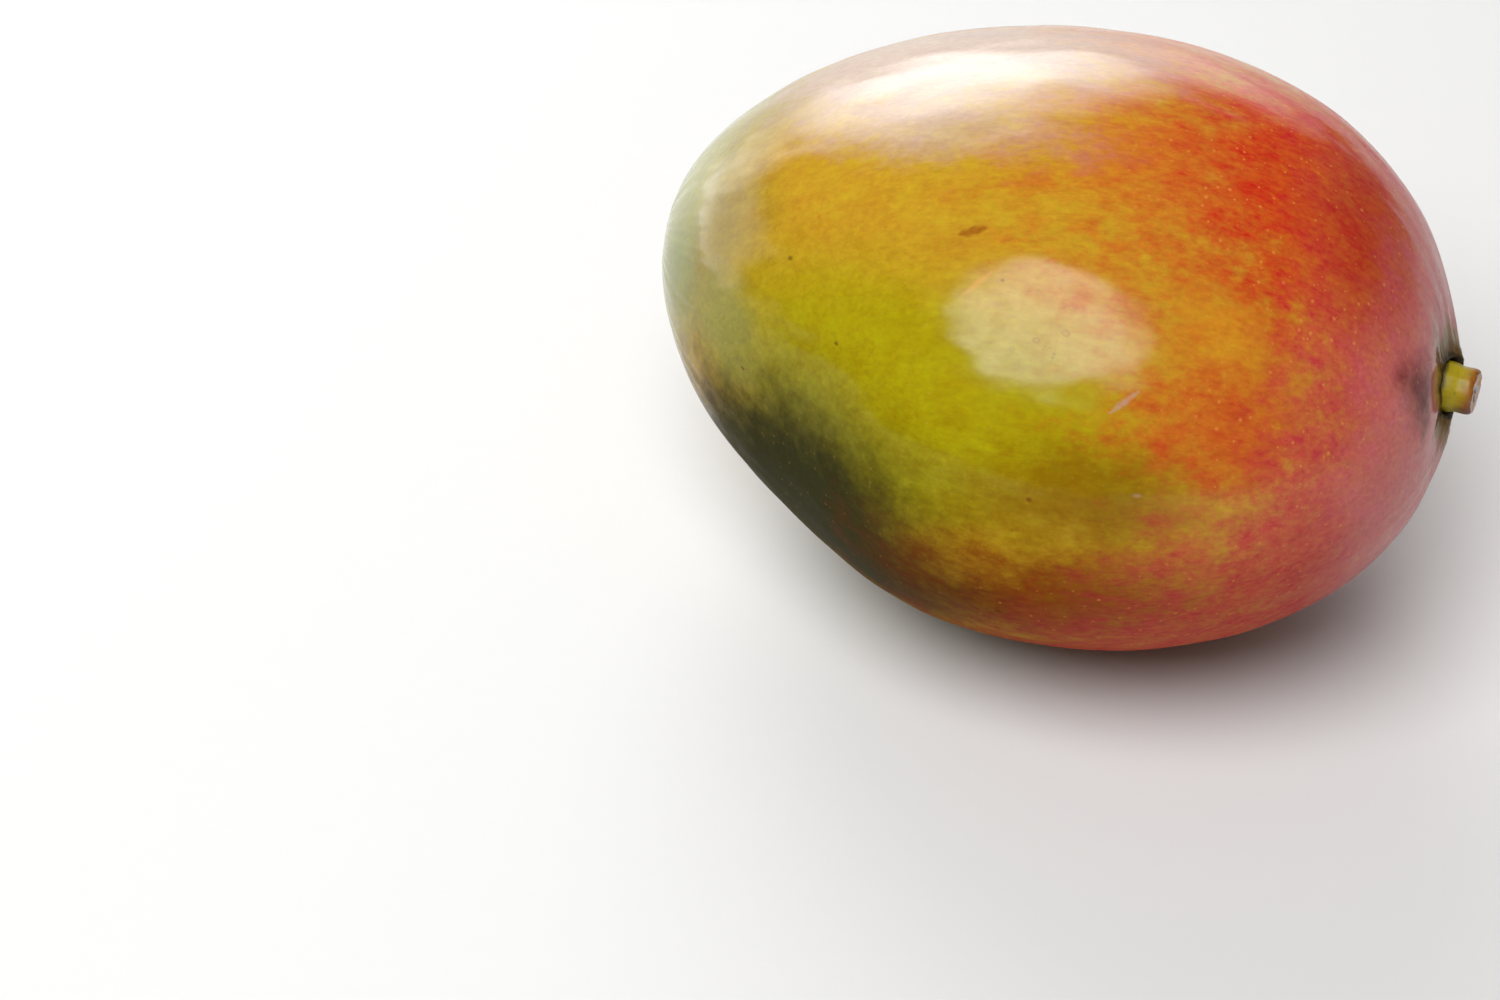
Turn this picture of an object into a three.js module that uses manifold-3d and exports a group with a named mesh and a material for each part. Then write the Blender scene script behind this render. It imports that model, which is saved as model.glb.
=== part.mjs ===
// A whole mango with the stub of its stalk, lying on its flatter side.
//
// The fruit is a lopsided egg: fuller at the stalk end, thinner than it is wide, with its middle line
// bowed sideways and a slight hollow in the belly near the tip. It rests on a small flat spot. The
// stalk is a short, snapped stub that stands in a shallow socket.
//
// Millimetres, +Z up. +X runs along the fruit towards the stalk, and -Y is the belly side.
// The origin is at the centre of the outline on the ground.

import * as THREE from "three";
import { mergeVertices } from "three/addons/utils/BufferGeometryUtils.js";
import Module from "manifold-3d";

// Fruit, measured over the plain egg before its middle line is bowed.
const FRUIT_LENGTH = 120;
const FRUIT_WIDTH = 103.8;
const FRUIT_THICKNESS = 82.8;

// How the girth changes along the fruit, as shares of the girth at the middle.
const SHOULDER = 0.075; // fuller towards the stalk, evenly
const BLUNTNESS = 0.067; // fuller towards the stalk, mostly at the ends

// How far the middle line lies to the side, as shares of half the length.
const SKEW = -0.105; // the stalk end to the belly side, the tip to the back
const BOW = 0.065; // both ends to the back
const HOOK = -0.083; // the ends turned back against the skew

// The hollow in the belly near the tip.
const HOLLOW_DEPTH = 0.1; // share of the girth
const HOLLOW_PLACE = -0.6; // along the fruit, -1 at the tip and 1 at the stalk
const HOLLOW_SPREAD = 0.25;

// The spot it rests on: how much the fruit is pressed flat there.
const REST_SPOT_DEPTH = 0.55;

// The lip: the skin swells around the stalk, most of all above it.
const LIP_HEIGHT = 1.2;
const LIP_RISE = 4; // its middle, above the middle line
const LIP_SPREAD = 3.5;

// Stalk: its foot is a little below the fruit's end, and it leans to the belly side.
const STALK_DEPTH = 1.1; // the foot, in from the fruit's end
const STALK_RISE = 2.6; // the foot, above the middle line
const STALK_SIDE = -1.5; // the foot, from the middle line
const STALK_LEAN = -8; // degrees about Z
const STALK_LIFT = -2; // degrees upwards
const STALK_OUT = 4.2; // beyond the foot
const STALK_IN = 1.2; // inside the socket
const STALK_FOOT_RADIUS = 3.8;
const STALK_TIP_RADIUS = 3.35;
const STALK_CORNER = 0.6; // rounding of the snapped end
const STALK_WAIST = 0.15; // how much slimmer the stub is at its waist
const GAP = 0.3; // between the stub and its socket
const SOCKET_FLARE = 0.8; // how much wider the socket is at its mouth

// Fineness of the surfaces.
const SIDES_ROUND = 60;
const SIDES_ALONG = 44;
const CROWDING = 0.22; // how much closer the sides are at the ends of the fruit
const STALK_SIDES = 24;
const STALK_STEPS = 6;

const wasm = await Module();
wasm.setup();

// The closed surface of a geometry, as a solid for cutting.
function solidOf(geometry) {
  const bare = geometry.clone();
  bare.deleteAttribute("normal");
  bare.deleteAttribute("uv");
  const merged = mergeVertices(bare, 1e-3);
  return new wasm.Manifold(
    new wasm.Mesh({
      numProp: 3,
      vertProperties: merged.getAttribute("position").array,
      triVerts: new Uint32Array(merged.index.array),
    }),
  );
}

// A cut solid, as a geometry again.
function geometryOf(solid) {
  const { vertProperties, triVerts } = solid.getMesh();
  const geometry = new THREE.BufferGeometry();
  geometry.setAttribute("position", new THREE.BufferAttribute(vertProperties, 3));
  geometry.setIndex(new THREE.BufferAttribute(triVerts, 1));
  geometry.computeVertexNormals();
  return geometry;
}

// How far the middle line lies to the side at a place along the fruit.
function middleLine(along) {
  const bow = BOW * (along ** 2 - 0.2);
  const hook = HOOK * (along ** 3 - 0.6 * along);
  return (FRUIT_LENGTH / 2) * (bow + SKEW * along + hook);
}

// How much the lip raises the skin, at a place across the fruit's stalk end.
function lip(across, up) {
  const away = Math.hypot(across, up - LIP_RISE) / LIP_SPREAD;
  return LIP_HEIGHT * Math.exp(-(away ** 2));
}

// The point of the skin that a point of the unit sphere moves to.
function skinPoint(p) {
  const girth = 1 + SHOULDER * p.x + BLUNTNESS * p.x ** 3;
  const round = Math.hypot(p.y, p.z);
  const belly = round > 0 ? Math.max(0, -p.y / round) ** 2 : 0;
  const near = Math.exp(-(((p.x - HOLLOW_PLACE) / HOLLOW_SPREAD) ** 2));
  const size = girth * (1 - HOLLOW_DEPTH * near * belly);
  const across = (FRUIT_WIDTH / 2) * p.y * size;
  const up = (FRUIT_THICKNESS / 2) * p.z * size;
  const swelling = p.x > 0 ? lip(across, up) : 0;
  return new THREE.Vector3((FRUIT_LENGTH / 2) * p.x + swelling, across + middleLine(p.x), up);
}

// A point of the unit sphere, moved so that the sides are closer together at the poles on the X axis.
function crowded(p) {
  const around = Math.atan2(p.z, p.y);
  const angle = Math.acos(THREE.MathUtils.clamp(p.x, -1, 1));
  const moved = angle - CROWDING * Math.sin(2 * angle);
  const round = Math.sin(moved);
  return p.set(Math.cos(moved), round * Math.cos(around), round * Math.sin(around));
}

// The whole skin, as a sphere whose poles are the tip and the stalk end.
function skinGeometry() {
  const geometry = new THREE.SphereGeometry(1, SIDES_ROUND, SIDES_ALONG);
  geometry.rotateZ(-Math.PI / 2);
  const position = geometry.getAttribute("position");
  const point = new THREE.Vector3();
  for (let i = 0; i < position.count; i++) {
    point.fromBufferAttribute(position, i);
    position.setXYZ(i, ...skinPoint(crowded(point)));
  }
  return geometry;
}

// Where the stalk's foot is, and which way it points.
const stalkFoot = new THREE.Vector3(
  FRUIT_LENGTH / 2 - STALK_DEPTH,
  middleLine(1) + STALK_SIDE,
  STALK_RISE,
);
const stalkTurn = new THREE.Euler(
  0,
  THREE.MathUtils.degToRad(-STALK_LIFT),
  THREE.MathUtils.degToRad(STALK_LEAN),
  "ZYX",
);

// A lathe turned from +Y to +X, so that it stands out of the fruit's end.
function turned(profile) {
  return new THREE.LatheGeometry(profile, STALK_SIDES).rotateZ(-Math.PI / 2);
}

// The stub: a swollen foot, a waist and a rounded, snapped end.
function stalkGeometry() {
  const profile = [new THREE.Vector2(0, -STALK_IN)];
  const straight = STALK_OUT - STALK_CORNER + STALK_IN;
  for (let i = 0; i <= STALK_STEPS; i++) {
    const share = i / STALK_STEPS;
    const waist = STALK_WAIST * Math.sin(Math.PI * share);
    const radius = THREE.MathUtils.lerp(STALK_FOOT_RADIUS, STALK_TIP_RADIUS, share) - waist;
    profile.push(new THREE.Vector2(radius, -STALK_IN + straight * share));
  }
  const corner = new THREE.EllipseCurve(
    STALK_TIP_RADIUS - STALK_CORNER,
    STALK_OUT - STALK_CORNER,
    STALK_CORNER,
    STALK_CORNER,
    0,
    Math.PI / 2,
  );
  profile.push(...corner.getPoints(3).slice(1));
  profile.push(new THREE.Vector2(0, STALK_OUT));
  return turned(profile);
}

// What the socket takes out of the fruit: a cup that opens towards its mouth.
function socketGeometry() {
  const floor = -STALK_IN - GAP;
  const floorRadius = STALK_FOOT_RADIUS + GAP;
  return turned([
    new THREE.Vector2(0, floor),
    new THREE.Vector2(floorRadius, floor),
    new THREE.Vector2(floorRadius + SOCKET_FLARE, STALK_OUT),
    new THREE.Vector2(0, STALK_OUT),
  ]);
}

// The fruit: the skin, less its flat spot underneath and the stalk's socket.
function fruitGeometry() {
  const skin = skinGeometry();
  skin.computeBoundingBox();
  const restHeight = skin.boundingBox.min.z + REST_SPOT_DEPTH;
  const slab = new THREE.BoxGeometry(FRUIT_LENGTH, FRUIT_WIDTH, FRUIT_THICKNESS);
  slab.translate(0, 0, restHeight - FRUIT_THICKNESS / 2);
  const socket = socketGeometry();
  socket.applyMatrix4(new THREE.Matrix4().makeRotationFromEuler(stalkTurn));
  socket.translate(...stalkFoot);
  return geometryOf(solidOf(skin).subtract(solidOf(slab)).subtract(solidOf(socket)));
}

const skinMaterial = new THREE.MeshStandardMaterial({
  color: 0xc9781c,
  roughness: 0.35,
  metalness: 0,
});
const stalkMaterial = new THREE.MeshStandardMaterial({
  color: 0x8d8020,
  roughness: 0.6,
  metalness: 0,
});

const fruit = new THREE.Mesh(fruitGeometry(), skinMaterial);
fruit.name = "fruit";

const stalk = new THREE.Mesh(stalkGeometry(), stalkMaterial);
stalk.name = "stalk";
stalk.position.copy(stalkFoot);
stalk.rotation.copy(stalkTurn);

const lying = new THREE.Group();
lying.add(fruit, stalk);
const bounds = new THREE.Box3().setFromObject(lying, true);
const centre = bounds.getCenter(new THREE.Vector3());
lying.position.set(-centre.x, -centre.y, -bounds.min.z);

const mango = new THREE.Group();
mango.add(lying);

export default mango;
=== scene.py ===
"""A whole mango with the snapped stub of its stalk, finished for a studio picture.

The fruit is a lopsided egg with a waxy skin, and it lies on its flatter side. Its stalk end is a red
shoulder, its middle is gold and its tip and belly are green; the belly's dark green is partly painted
shade. The stub stands in a small socket, with a lip of skin round it, and painted shade darkens the
socket and the folds round it.

Metres, +Z up. +X runs along the fruit towards the stalk, and -Y is the belly side.
"""

import logging
import math
from dataclasses import dataclass, field
from enum import Enum
from typing import Any, Iterable, Optional, Sequence, Union

import bmesh
import bpy
from mathutils import Euler, Matrix, Vector, noise


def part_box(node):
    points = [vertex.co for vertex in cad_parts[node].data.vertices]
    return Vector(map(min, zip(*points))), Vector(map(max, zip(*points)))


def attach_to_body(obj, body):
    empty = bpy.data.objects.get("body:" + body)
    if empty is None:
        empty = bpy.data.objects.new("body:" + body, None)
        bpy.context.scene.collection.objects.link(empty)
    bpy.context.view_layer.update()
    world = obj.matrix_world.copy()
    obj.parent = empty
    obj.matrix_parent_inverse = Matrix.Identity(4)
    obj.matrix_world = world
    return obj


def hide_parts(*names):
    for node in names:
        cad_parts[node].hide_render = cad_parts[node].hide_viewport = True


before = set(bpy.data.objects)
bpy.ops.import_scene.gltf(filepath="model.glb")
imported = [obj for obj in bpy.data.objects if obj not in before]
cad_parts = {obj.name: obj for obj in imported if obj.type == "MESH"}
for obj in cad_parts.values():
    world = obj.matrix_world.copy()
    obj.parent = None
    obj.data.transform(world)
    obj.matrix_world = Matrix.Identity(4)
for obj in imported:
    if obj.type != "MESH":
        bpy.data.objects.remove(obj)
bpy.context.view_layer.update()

LOG = logging.getLogger("mango")
MM = 0.001

# Where the faint and the strong parts of a noise begin.
NOISE_FAINT = 0.3
NOISE_STRONG = 0.7

# Where an area's cover ends, as a share of its reach.
AREA_EDGE = 1.1


def linear(red: int, green: int, blue: int) -> tuple[float, float, float]:
    """A colour as a screen shows it, in the plain light values that the nodes use.

    Args:
        red: Its red, from 0 to 255.
        green: Its green, from 0 to 255.
        blue: Its blue, from 0 to 255.

    Returns:
        The same colour as three light values from 0 to 1, by the screens' standard curve.
    """
    shares = (channel / 255 for channel in (red, green, blue))
    return tuple(
        share / 12.92 if share <= 0.04045 else ((share + 0.055) / 1.055) ** 2.4 for share in shares
    )


class Hue(Enum):
    """The colours of the skin and the stub; some also serve as painted shade and painted highlight."""

    GOLD = linear(168, 124, 26)
    YOLK = linear(184, 120, 26)
    AMBER = linear(178, 92, 26)
    SAGE = linear(118, 122, 58)
    LIME = linear(146, 130, 2)
    LEAF = linear(100, 92, 2)
    DARK_GREEN_AND_SHADE = linear(46, 44, 14)
    TIP = linear(148, 152, 104)
    BLUSH = linear(182, 50, 18)
    CRIMSON = linear(168, 46, 20)
    EMBER = linear(176, 70, 26)
    RUST = linear(120, 50, 2)
    KHAKI = linear(120, 82, 2)
    ROSE = linear(180, 68, 60)
    BLOOM_AND_HIGHLIGHT = linear(204, 122, 124)
    PURPLE_AND_SHADE = linear(98, 22, 24)
    UMBER_AND_SHADE = linear(72, 42, 6)
    HONEY = linear(214, 150, 70)
    PALE_SCUFF_AND_HIGHLIGHT = linear(172, 148, 132)
    HOLLOW_SHADE = linear(62, 50, 28)
    MOSS = linear(104, 96, 20)
    STEM = linear(164, 144, 2)
    BARK = linear(96, 38, 12)
    TAN = linear(134, 74, 12)
    PITH = linear(196, 184, 182)

    @property
    def rgba(self) -> tuple[float, float, float, float]:
        """The colour with full cover, as a colour socket holds it."""
        return (*self.value, 1.0)


class Value:
    """A number that varies over a surface. Python's operators on it add Math nodes."""

    def __init__(self, bench: "Bench", socket: bpy.types.NodeSocket) -> None:
        """Wraps one output of a material's nodes."""
        self.bench = bench
        self.socket = socket

    def _maths(self, operation: str, first: "Number", second: "Number") -> "Value":
        """Adds one Math node of an operation, and gives its result."""
        node = self.bench.add("ShaderNodeMath", {"operation": operation}, {0: first, 1: second})
        return Value(self.bench, node.outputs[0])

    def __add__(self, other: "Number") -> "Value":
        """This value plus another."""
        return self._maths("ADD", self, other)

    def __radd__(self, other: "Number") -> "Value":
        """Another value plus this one."""
        return self._maths("ADD", other, self)

    def __sub__(self, other: "Number") -> "Value":
        """This value less another."""
        return self._maths("SUBTRACT", self, other)

    def __rsub__(self, other: "Number") -> "Value":
        """Another value less this one."""
        return self._maths("SUBTRACT", other, self)

    def __mul__(self, other: "Number") -> "Value":
        """This value times another."""
        return self._maths("MULTIPLY", self, other)

    def __rmul__(self, other: "Number") -> "Value":
        """Another value times this one."""
        return self._maths("MULTIPLY", other, self)

    def __truediv__(self, other: "Number") -> "Value":
        """This value divided by another."""
        return self._maths("DIVIDE", self, other)

    def sway(self, reach: "Number") -> "Value":
        """A noise from 0 to 1, as one that sways to either side of 0 by half of a reach."""
        return (self - 0.5) * reach


Number = Union[Value, float, int]
Socket = bpy.types.NodeSocket
Triple = Union[Socket, tuple[float, float, float], tuple[float, float, float, float]]


@dataclass(frozen=True)
class Cloud:
    """A cloudy noise: the size of its clouds along the first axis and across it, and its finer layers."""

    along: float
    across: float
    layers: float = 3
    ragged: float = 0.6


class Bench:
    """A material's nodes, and the one way in which they are added."""

    def __init__(self, name: str) -> None:
        """Starts an empty material.

        Args:
            name: The material's name.
        """
        self.material = bpy.data.materials.new(name)
        self.material.use_nodes = True
        self.tree = self.material.node_tree
        self.tree.nodes.clear()

    def add(self, kind: str, settings: dict[str, Any], inputs: dict[Any, Any]) -> bpy.types.Node:
        """Adds one node.

        Args:
            kind: The node's type.
            settings: Its own settings, set before its sockets.
            inputs: What goes in at each socket: a number, a colour, a Value or another node's output.

        Returns:
            The node.
        """
        node = self.tree.nodes.new(kind)
        for name, setting in settings.items():
            setattr(node, name, setting)
        for key, given in inputs.items():
            if isinstance(given, Value):
                self.tree.links.new(given.socket, node.inputs[key])
            elif isinstance(given, Socket):
                self.tree.links.new(given, node.inputs[key])
            else:
                node.inputs[key].default_value = given
        return node

    def attribute(self, name: str) -> Socket:
        """A vector that each vertex carries, by its name."""
        return self.add("ShaderNodeAttribute", {"attribute_name": name}, {}).outputs["Vector"]

    def spot(self) -> Socket:
        """Places on the piece, in metres."""
        return self.add("ShaderNodeTexCoord", {}, {}).outputs["Object"]

    def part(self, vector: Socket, axis: int) -> Value:
        """One number of a vector, by its axis from 0 to 2."""
        return Value(self, self.add("ShaderNodeSeparateXYZ", {}, {0: vector}).outputs[axis])

    def channel(self, colour: Socket, index: int) -> Value:
        """One channel of a colour, from 0 for red to 2 for blue."""
        return Value(self, self.add("ShaderNodeSeparateColor", {}, {0: colour}).outputs[index])

    def vector(self, operation: str, first: Triple, second: Triple,
               third: Optional[Triple] = None) -> Socket:
        """Works on vectors or colours.

        Args:
            operation: The Vector Math node's operation.
            first: Its first vector.
            second: Its second vector.
            third: Its third vector, where the operation takes one.

        Returns:
            The vector that comes out.
        """
        inputs = {0: first, 1: second}
        if third is not None:
            inputs[2] = third
        return self.add("ShaderNodeVectorMath", {"operation": operation}, inputs).outputs["Vector"]

    def length(self, vector: Socket) -> Value:
        """How long a vector is."""
        node = self.add("ShaderNodeVectorMath", {"operation": "LENGTH"}, {0: vector})
        return Value(self, node.outputs["Value"])

    def scaled(self, colour: Triple, by: Number) -> Socket:
        """A colour made lighter or darker by a number."""
        node = self.add("ShaderNodeVectorMath", {"operation": "SCALE"}, {0: colour, "Scale": by})
        return node.outputs["Vector"]

    def mix(self, share: Number, under: Triple, over: Union[Triple, Hue]) -> Socket:
        """Lays one colour over another.

        Args:
            share: How much of the upper colour shows, from 0 to 1.
            under: The lower colour.
            over: The upper colour.

        Returns:
            The colour that comes out.
        """
        upper = over.rgba if isinstance(over, Hue) else over
        settings = {"data_type": "RGBA", "blend_type": "MIX"}
        return self.add("ShaderNodeMix", settings, {0: share, 6: under, 7: upper}).outputs[2]

    def step(self, value: Number, start: float, end: float, low: Number = 0.0, high: Number = 1.0) -> Value:
        """A smooth step from one number to another.

        Args:
            value: What is looked at.
            start: Where the step starts.
            end: Where it ends, which may be below its start.
            low: What comes out before the start.
            high: What comes out past the end.

        Returns:
            The stepped value.
        """
        sockets = {"Value": value, "From Min": start, "From Max": end, "To Min": low, "To Max": high}
        node = self.add("ShaderNodeMapRange", {"interpolation_type": "SMOOTHSTEP"}, sockets)
        return Value(self, node.outputs[0])

    def cloud(self, place: Socket, cloud: Cloud) -> bpy.types.Node:
        """A cloudy noise.

        Args:
            place: The vector that it is laid out on.
            cloud: Its sizes and layers.

        Returns:
            The Noise Texture node.
        """
        spread = self.vector("MULTIPLY", place, (1 / cloud.along, 1 / cloud.across, 1 / cloud.across))
        sockets = {"Vector": spread, "Scale": 1.0, "Detail": cloud.layers, "Roughness": cloud.ragged}
        return self.add("ShaderNodeTexNoise", {}, sockets)

    def clouds(self, place: Socket, cloud: Cloud) -> Value:
        """The strength of a cloudy noise at each place, from 0 to 1."""
        return Value(self, self.cloud(place, cloud).outputs[0])

    def dots(self, place: Socket, apart: float) -> tuple[Value, Value]:
        """Points scattered over a surface.

        Args:
            place: The vector that they are laid out on, in metres.
            apart: How far apart they are, in metres.

        Returns:
            How far each place is from the nearest point, in metres, and a chance number for that point.
        """
        spread = self.vector("MULTIPLY", place, (1 / apart,) * 3)
        node = self.add("ShaderNodeTexVoronoi", {}, {"Vector": spread, "Scale": 1.0})
        return Value(self, node.outputs["Distance"]) * apart, self.channel(node.outputs["Color"], 0)

    def finish(self, shader: dict[str, Any], height: Value, depth: float) -> bpy.types.Material:
        """Puts the surface together.

        Args:
            shader: What goes in at each socket of the Principled shader.
            height: The relief, from 0 to 1.
            depth: How deep the whole relief is, in metres.

        Returns:
            The material.
        """
        bump = self.add("ShaderNodeBump", {}, {"Strength": 1.0, "Distance": depth, "Height": height})
        surface = self.add("ShaderNodeBsdfPrincipled", {}, {**shader, "Normal": bump.outputs[0]})
        self.add("ShaderNodeOutputMaterial", {}, {"Surface": surface.outputs[0]})
        return self.material


@dataclass(frozen=True)
class Area:
    """One soft-edged area of the skin.

    Its place is given as on a globe whose poles are the tip and the stalk: along runs from -1 at the
    tip to 1 at the stalk, and around is 90 at the top, 180 at the belly and 270 underneath. Its
    reaches are shares of the globe's radius. Its cover is full out to its core, a share of its reach,
    and ragged says how much the mottling breaks up its edge.
    """

    along: float
    around: float
    reach_along: float
    reach_around: float
    cover: float = 1.0
    core: float = 0.2
    ragged: float = 0.5

    @property
    def centre(self) -> Vector:
        """Its middle, on the unit sphere.

        Returns:
            The point.
        """
        ring = math.sqrt(max(0.0, 1 - self.along**2))
        turn = math.radians(self.around)
        return Vector((self.along, ring * math.cos(turn), ring * math.sin(turn)))


@dataclass(frozen=True)
class Dab(Area):
    """An area of colour."""

    hue: Hue = Hue.GOLD


@dataclass(frozen=True)
class Sheen(Area):
    """An area where the wax is thinner or thicker."""

    wax: float = 0.5


SKIN_DABS = (
    # The tip is a pale green, and so is the top towards the back.
    Dab(-0.80, 128, 0.30, 0.42, 0.65, hue=Hue.MOSS),
    Dab(-1.0, 130, 0.22, 1.20, 0.75, 0.30, hue=Hue.TIP),
    Dab(-0.91, 152, 0.18, 0.36, 0.85, hue=Hue.SAGE),
    Dab(-0.88, 62, 0.36, 0.60, 0.70, 0.3, hue=Hue.TIP),
    Dab(-0.70, 80, 0.30, 0.50, 0.35, hue=Hue.LEAF),
    # The belly side of the tip half goes from lime to a dark green, which is partly the skin's own green
    # and partly painted shade.
    Dab(-0.30, 156, 0.85, 0.48, 0.95, 0.45, hue=Hue.LIME),
    Dab(-0.50, 178, 0.62, 0.50, 0.85, hue=Hue.LEAF),
    # Partly painted shade: the darkest green of the belly.
    Dab(-0.45, 201, 0.44, 0.60, 1.0, 0.40, hue=Hue.DARK_GREEN_AND_SHADE),
    Dab(-0.66, 212, 0.36, 0.52, 0.90, 0.35, hue=Hue.DARK_GREEN_AND_SHADE),
    Dab(-0.74, 158, 0.17, 0.26, 0.60, hue=Hue.SAGE),
    Dab(-0.35, 262, 0.90, 0.70, 0.80, hue=Hue.LEAF),
    # The middle turns amber towards the stalk.
    Dab(0.32, 102, 0.55, 0.53, 0.80, ragged=1.4, hue=Hue.AMBER),
    Dab(0.58, 142, 0.54, 0.50, 0.75, ragged=1.3, hue=Hue.AMBER),
    Dab(0.18, 130, 0.22, 0.15, 0.45, 0.0, ragged=1.6, hue=Hue.EMBER),
    # Low on the belly it is khaki, then rust, and rose at the stalk end.
    Dab(0.22, 168, 0.45, 0.22, 0.80, hue=Hue.KHAKI),
    Dab(0.18, 194, 0.58, 0.38, 0.95, ragged=0.9, hue=Hue.RUST),
    Dab(0.08, 224, 0.56, 0.40, 0.85, ragged=0.9, hue=Hue.RUST),
    Dab(-0.12, 200, 0.26, 0.30, 0.60, hue=Hue.UMBER_AND_SHADE),
    Dab(0.72, 188, 0.62, 0.50, 0.95, ragged=1.1, hue=Hue.ROSE),
    Dab(0.55, 225, 0.80, 0.70, 0.90, hue=Hue.ROSE),
    # The shoulder is red.
    Dab(0.56, 100, 0.52, 0.60, 0.85, ragged=1.2, hue=Hue.EMBER),
    Dab(0.70, 90, 0.46, 0.62, 0.95, 0.42, ragged=1.2, hue=Hue.BLUSH),
    Dab(0.60, 20, 0.80, 0.80, 0.90, ragged=1.2, hue=Hue.BLUSH),
    Dab(0.52, 152, 0.40, 0.24, 0.80, ragged=1.5, hue=Hue.EMBER),
    Dab(0.48, 133, 0.26, 0.11, 0.80, ragged=1.5, hue=Hue.YOLK),
    Dab(1.0, 150, 0.46, 2.0, 0.95, 0.55, ragged=0.8, hue=Hue.ROSE),
    Dab(0.78, 102, 0.28, 0.34, 0.90, 0.3, hue=Hue.CRIMSON),
    # A pale bloom lies over the top and both ends; on the top it is partly painted reflection of the bright
    # rim.
    Dab(1.0, 150, 0.28, 2.0, 0.70, 0.20, ragged=0.8, hue=Hue.BLOOM_AND_HIGHLIGHT),
    Dab(0.20, 66, 0.60, 0.34, 0.46, ragged=0.9, hue=Hue.BLOOM_AND_HIGHLIGHT),
    # Painted highlight: a pale haze under the top shine that stands in for its soft fringe, partly over
    # real bloom.
    Dab(-0.36, 76, 0.66, 0.44, 0.95, 0.45, ragged=0.9, hue=Hue.PALE_SCUFF_AND_HIGHLIGHT),
    Dab(-0.30, 101, 0.52, 0.20, 0.60, 0.0, ragged=1.7, hue=Hue.PALE_SCUFF_AND_HIGHLIGHT),
    # Close to the stalk lie olive and brown patches, a dark purple patch that is partly painted shade in
    # the dent beside the stub, and a painted highlight along a ridge.
    Dab(0.905, 140, 0.090, 0.15, 0.95, 0.2, hue=Hue.PURPLE_AND_SHADE),
    Dab(0.955, 113, 0.035, 0.13, 0.55, hue=Hue.MOSS),
    Dab(0.930, 154, 0.045, 0.08, 0.50, hue=Hue.UMBER_AND_SHADE),
    # Painted highlight along a ridge that runs out from the stalk.
    Dab(0.875, 148, 0.060, 0.08, 0.45, hue=Hue.BLOOM_AND_HIGHLIGHT),
)


def scratch(start: tuple[float, float], end: tuple[float, float], width: float, cover: float,
            hue: Hue, beads: int = 9) -> tuple[Dab, ...]:
    """A short scratch, as a row of small dabs that run into one another.

    Args:
        start: Where it starts, along and around the fruit.
        end: Where it ends.
        width: How wide it is in its middle, as an area's reach.
        cover: How much its colour covers.
        hue: Its colour.
        beads: How many dabs it has.

    Returns:
        The dabs.
    """
    dabs = []
    for bead in range(beads):
        share = bead / (beads - 1)
        along = start[0] + (end[0] - start[0]) * share
        around = start[1] + (end[1] - start[1]) * share
        reach = width * (0.5 + 0.5 * math.sin(math.pi * share))
        dabs.append(Dab(along, around, reach, reach, cover, core=0.2, ragged=1.2, hue=hue))
    return tuple(dabs)


SKIN_MARKS = (
    # A brown scar and two pale scratches.
    *scratch((-0.158, 123.9), (-0.104, 122.2), 0.017, 0.55, Hue.TAN),
    *scratch((0.240, 151.0), (0.295, 146.8), 0.012, 0.35, Hue.PALE_SCUFF_AND_HIGHLIGHT),
    *scratch((-0.132, 134.9), (-0.072, 129.9), 0.012, 0.22, Hue.HONEY, 13),
    # Three small rings, each a dab with a paler one inside it, and the short strokes between them.
    Dab(0.055, 140.4, 0.011, 0.011, 0.45, 0.6, hue=Hue.KHAKI),
    Dab(0.055, 140.4, 0.006, 0.006, 0.70, 0.4, hue=Hue.GOLD),
    Dab(0.118, 138.5, 0.013, 0.013, 0.45, 0.6, hue=Hue.KHAKI),
    Dab(0.118, 138.5, 0.008, 0.008, 0.70, 0.4, hue=Hue.GOLD),
    Dab(0.002, 142.4, 0.009, 0.009, 0.35, 0.6, hue=Hue.MOSS),
    Dab(0.002, 142.4, 0.005, 0.005, 0.70, 0.4, hue=Hue.GOLD),
    *scratch((0.078, 140.6), (0.070, 142.4), 0.005, 0.40, Hue.MOSS, 4),
    *scratch((0.100, 141.6), (0.094, 143.6), 0.005, 0.45, Hue.BARK, 4),
    # Specks.
    Dab(-0.57, 133, 0.010, 0.011, 0.60, 0.3, hue=Hue.UMBER_AND_SHADE),
    Dab(-0.42, 149, 0.008, 0.010, 0.60, 0.3, hue=Hue.UMBER_AND_SHADE),
    Dab(-0.67, 168, 0.010, 0.010, 0.60, 0.3, hue=Hue.UMBER_AND_SHADE),
    Dab(0.08, 169, 0.010, 0.012, 0.60, 0.3, hue=Hue.BARK),
    Dab(0.02, 200, 0.013, 0.012, 0.70, 0.4, hue=Hue.BARK),
    Dab(-0.042, 131.1, 0.007, 0.007, 0.60, 0.3, hue=Hue.BARK),
    Dab(0.32, 166, 0.016, 0.010, 0.30, 0.1, hue=Hue.PALE_SCUFF_AND_HIGHLIGHT),
)
SKIN_SHEENS = (
    Sheen(-1.0, 130, 0.42, 1.20, 0.95, 0.4, wax=1.0),
    Sheen(-0.2, 75, 0.70, 0.45, 0.80, 0.3, wax=0.85),
    Sheen(-0.42, 202, 0.74, 0.84, 1.0, 0.30, wax=0.08),
    Sheen(0.15, 202, 0.95, 0.78, 1.0, 0.5, wax=0.10),
    Sheen(0.998, 115, 0.05, 0.14, 0.9, 0.55, wax=0.12),
)


@dataclass(frozen=True)
class Ring:
    """A ring of colour round the stalk, part of the painted shade that deepens into the socket. Its
    distances are in millimetres from the stalk's axis.
    """

    outer: float
    inner: float
    wander: float
    cover: float
    hue: Hue


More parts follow.
